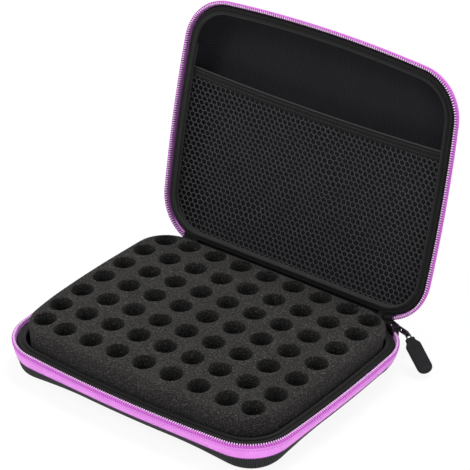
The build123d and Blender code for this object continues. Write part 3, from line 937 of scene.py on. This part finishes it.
def strip():
    """The cloth hinge: down the base's rear wall, round the fold and along the lid's rear wall."""
    turn, wall = radians(OPENED), 12.0

    def run(out, radius):
        """One face of the cloth: its line, and the ends of its fold."""
        corner = Vector((HINGE_Y - out, HALF + out * tan(turn / 2)))
        first = Vector((HINGE_Y - out, HALF - wall))
        last = Vector((
            HINGE_Y - out * cos(turn) + wall * sin(turn), HALF + out * sin(turn) + wall * cos(turn)))
        a, b = (first - corner).normalized(), (last - corner).normalized()
        reach = radius / tan(a.angle(b) / 2)
        centre = corner + (a + b).normalized() * (radius / sin(a.angle(b) / 2))
        start, end = corner + a * reach, corner + b * reach
        line = [first.lerp(start, k / 5) for k in range(5)]
        line += [centre + (start - centre).slerp(end - centre, k / 8) for k in range(9)]
        line += [end.lerp(last, k / 5) for k in range(1, 6)]
        return line, start, end

    inner, _, _ = run(2.3, 6.0)
    outer, start, end = run(1.3, 5.0)
    section = inner + outer[::-1]
    xs = np.arange(-88.0, 88.01, 2.0)
    lengths = np.concatenate([[0], np.cumsum([(b - a).length for a, b in zip(section, section[1:])])])
    points = [(x, p[0], p[1]) for x in xs for p in section]
    return points, *along_x(xs, lengths), start, end


*strip_shape, fold_start, fold_end = strip()
cloth_hinge = make("cloth_hinge", strip_shape, strip_look, None, ["hinge_strip"])
fold_start, fold_end = ((0, fold[0] * MM, fold[1] * MM) for fold in (fold_start, fold_end))
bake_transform(cloth_hinge)


def web(side):
    """Cloth that closes the corner between the halves at one end of the hinge."""
    turns, steps = np.linspace(64.0, 90.0, 12), np.linspace(0.0, 1.0, 11)
    radius, level = RADIUS - 3.2, HALF - 4.3
    count, m = len(turns), len(steps)
    points, flat = [], []
    for lift in (0.25, -0.25):
        for turn in turns:
            a = radians(turn)
            low = np.array([side * (REACH + radius * cos(a)), REAR + radius * sin(a), level])
            high = to_lid(low[None])[0]
            middle = (low + high) / 2
            inward = middle - np.array([middle[0], HINGE_Y, HALF])
            inward /= np.linalg.norm(inward)
            for t in steps:
                bulge = 4 * t * (1 - t) * (-1.6 + 0.5 * sin(turn * 1.1))
                points.append(tuple(low + (high - low) * t + inward * (bulge + lift)))
                flat.append((RADIUS * a, np.linalg.norm(high - low) * t))
    faces, back = [], count * m
    for i in range(count - 1):
        for k in range(m - 1):
            ring = [i * m + k, i * m + k + 1, (i + 1) * m + k + 1, (i + 1) * m + k]
            faces += [ring, [back + p for p in ring]]
        for k in (0, m - 1):
            faces.append([i * m + k, (i + 1) * m + k, back + (i + 1) * m + k, back + i * m + k])
    for i in (0, count - 1):
        for k in range(m - 1):
            faces.append([i * m + k, i * m + k + 1, back + i * m + k + 1, back + i * m + k])
    return points, faces, [flat[p] for face in faces for p in face]


for name, side in (("hinge_web_right", 1), ("hinge_web_left", -1)):
    piece = make(name, web(side), strip_look, None)
    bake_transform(piece)


# Slider and pull

def axes(x, y, z, origin):
    """A placing matrix from its axes and its origin."""
    return Matrix([(x[i], y[i], z[i], origin[i]) for i in range(3)] + [(0, 0, 0, 1)])


park, heading, droop = radians(PARK_ANGLE), radians(LEVER_HEADING), radians(TAB_DROOP)
upright = Vector((0, 0, 1))
outward = Vector((cos(park), sin(park), 0))
lever_origin = Vector((REACH, REAR, HALF)) + outward * (RADIUS + LEVER_PIVOT)
lever_x = Vector((cos(heading), sin(heading), 0))
tab_x = lever_x * cos(droop) - upright * sin(droop)
tab_z = lever_x * sin(droop) + upright * cos(droop)
tab_frame = axes(tab_x, tab_z.cross(tab_x), tab_z, lever_origin + lever_x * LEVER_LENGTH)


def tab_half_width(u):
    """Half the tab's width along its length, from head to rounded end."""
    head, half, head_round, end_round = 4.0, 6.5, 1.6, 5.6
    if u < TAB_START + head_round:
        t = (u - TAB_START) / head_round
        return head * (1 - (1 - t) ** 2) ** 0.5 * 0.35 + head * 0.65
    if u > TAB_END - end_round:
        t = (u - (TAB_END - end_round)) / end_round
        return half * (1 - min(t, 1.0) ** 2.3) ** (1 / 2.1)
    return head + (half - head) * smooth((u - TAB_START - 2.4) / 4.2)


def rubber_tab():
    """The moulded tab: rounded sides and a shallow grip panel on both faces."""
    round_end = 26.4 + 5.6 * np.sin(np.linspace(0.08, pi / 2, 12))
    lengths = np.concatenate([np.linspace(TAB_START, 9, 12), np.linspace(9.8, 26, 18), round_end])
    steps = [(k, 1) for k in range(-7, 8)] + [(k, -1) for k in range(7, -8, -1)]
    section = [(sin(pi / 2 * k / 7), side) for k, side in steps]
    points = []
    for u in lengths:
        half = max(tab_half_width(u), 0.25)
        end = min((u - TAB_START) / 1.2, (TAB_END - u) / 2.2, 1.0)
        thick = 1.8 * max(1 - (1 - max(end, 0.0)) ** 2.2, 0.05) ** 0.5
        along = np.clip(u - 11.0, 0, 1) * np.clip(29.0 - u, 0, 1)
        for share, side in section:
            edge = half - abs(share * half)
            z = thick * (1 - (1 - min(edge / min(1.7, half), 1.0)) ** 2) ** 0.5
            panel = np.clip((edge - 1.5) / 0.7, 0, 1) * along
            points.append((u, share * half, side * (z - 0.22 * panel)))
    return points, skin(len(lengths), len(section))


def on_tab(name, shape, look, node, sharp=35.0):
    """A piece given in the tab's own place."""
    points = [tuple(tab_frame @ Vector(p)) for p in shape[0]]
    make(name, (points, shape[1]), look, "pull_tab", [node], sharp=sharp)


on_tab("rubber_pull", rubber_tab(), rubber_look, "pull_tab", 60.0)
half, bow = 1.8, 1.2
line = [(6.2, -half, 0), (4.0, -half, 0), (1.4, -half, 0)]
line += [(bow - bow * sin(radians(a)), -half + bow - bow * cos(radians(a)), 0) for a in (15, 35, 55, 75, 90)]
line += [(p[0], -p[1], p[2]) for p in line[::-1]]
on_tab("wire_loop", tube(line, 0.55, 12), metal_look, "pull_loop")
for name in ("zip_slider", "pull_lever"):
    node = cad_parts[name]
    node.data.materials.clear()
    node.data.materials.append(metal_look)
    edge = node.modifiers.new("soft_edges", "BEVEL")
    edge.width, edge.segments, edge.limit_method, edge.angle_limit = 0.22 * MM, 2, "ANGLE", radians(35)


# Stage, light and camera

def floor_material():
    """White where the camera and gloss see it, with the object's soft shadow kept."""
    material = bpy.data.materials.new("floor_white")
    material.use_nodes = True
    nodes, link = material.node_tree.nodes, material.node_tree.links.new
    nodes.clear()
    path, mix = nodes.new("ShaderNodeLightPath"), nodes.new("ShaderNodeMixShader")
    seen, share = nodes.new("ShaderNodeMath"), nodes.new("ShaderNodeMath")
    seen.operation, share.operation = "MAXIMUM", "MULTIPLY"
    link(path.outputs["Is Camera Ray"], seen.inputs[0])
    link(path.outputs["Is Glossy Ray"], seen.inputs[1])
    link(seen.outputs[0], share.inputs[0])
    share.inputs[1].default_value = 0.9
    diffuse, glow = nodes.new("ShaderNodeBsdfDiffuse"), nodes.new("ShaderNodeEmission")
    diffuse.inputs["Color"].default_value = (0.93, 0.93, 0.93, 1.0)
    glow.inputs["Color"].default_value = (1.0, 1.0, 1.0, 1.0)
    glow.inputs["Strength"].default_value = 1.0
    link(share.outputs[0], mix.inputs[0])
    link(diffuse.outputs[0], mix.inputs[1])
    link(glow.outputs[0], mix.inputs[2])
    link(mix.outputs[0], nodes.new("ShaderNodeOutputMaterial").inputs["Surface"])
    return material


floor_mesh = bpy.data.meshes.new("floor")
floor_mesh.from_pydata([(-6, -6, 0), (6, -6, 0), (6, 6, 0), (-6, 6, 0)], [], [(0, 1, 2, 3)])
floor_mesh.materials.append(floor_material())
floor = bpy.data.objects.new("floor", floor_mesh)
floor.location.z = -0.0002
bpy.context.scene.collection.objects.link(floor)

world = bpy.data.worlds.new("studio")
bpy.context.scene.world = world
world.use_nodes = True
nodes, links = world.node_tree.nodes, world.node_tree.links
background = nodes["Background"]
background.inputs["Color"].default_value = (1.0, 1.0, 1.0, 1.0)
path = nodes.new("ShaderNodeLightPath")
strength = nodes.new("ShaderNodeMapRange")
strength.inputs["To Min"].default_value = 0.55
strength.inputs["To Max"].default_value = 1.0
links.new(path.outputs["Is Camera Ray"], strength.inputs["Value"])
links.new(strength.outputs["Result"], background.inputs["Strength"])


def lamp(name, place, target, size, power):
    data = bpy.data.lights.new(name, "AREA")
    data.shape, data.size, data.energy = "DISK", size, power
    light = bpy.data.objects.new(name, data)
    light.location = place
    light.rotation_euler = (Vector(target) - Vector(place)).to_track_quat("-Z", "Y").to_euler()
    bpy.context.scene.collection.objects.link(light)


lamp("key", (-0.9, -1.0, 1.9), (0, 0.05, 0.08), 1.1, 15.0)
lamp("fill", (1.5, -1.3, 0.8), (0, 0.0, 0.04), 1.2, 8.0)
lamp("top", (0.0, 0.7, 2.1), (0, 0.05, 0.05), 1.0, 34.0)

azimuth, elevation, roll = radians(36.841), radians(30.625), radians(0.205)
back = Vector((sin(azimuth) * cos(elevation), -cos(azimuth) * cos(elevation), sin(elevation)))
right = upright.cross(back).normalized()
up = back.cross(right)
right, up = right * cos(roll) + up * sin(roll), up * cos(roll) - right * sin(roll)
camera_data = bpy.data.cameras.new("camera")
camera_data.sensor_width = 36.0
camera_data.lens = FOCAL / IMAGE * 36.0
camera_data.shift_x, camera_data.shift_y = SHIFT[0] / IMAGE, SHIFT[1] / IMAGE
camera_data.clip_start, camera_data.clip_end = 0.05, 50.0
camera = bpy.data.objects.new("camera", camera_data)
camera.matrix_world = axes(right, up, back, (right * 0.11374 + up * 0.39125 + back * 7.77227) * 0.24)
bpy.context.scene.collection.objects.link(camera)
bpy.context.scene.camera = camera
bpy.context.scene.view_settings.view_transform = "Standard"
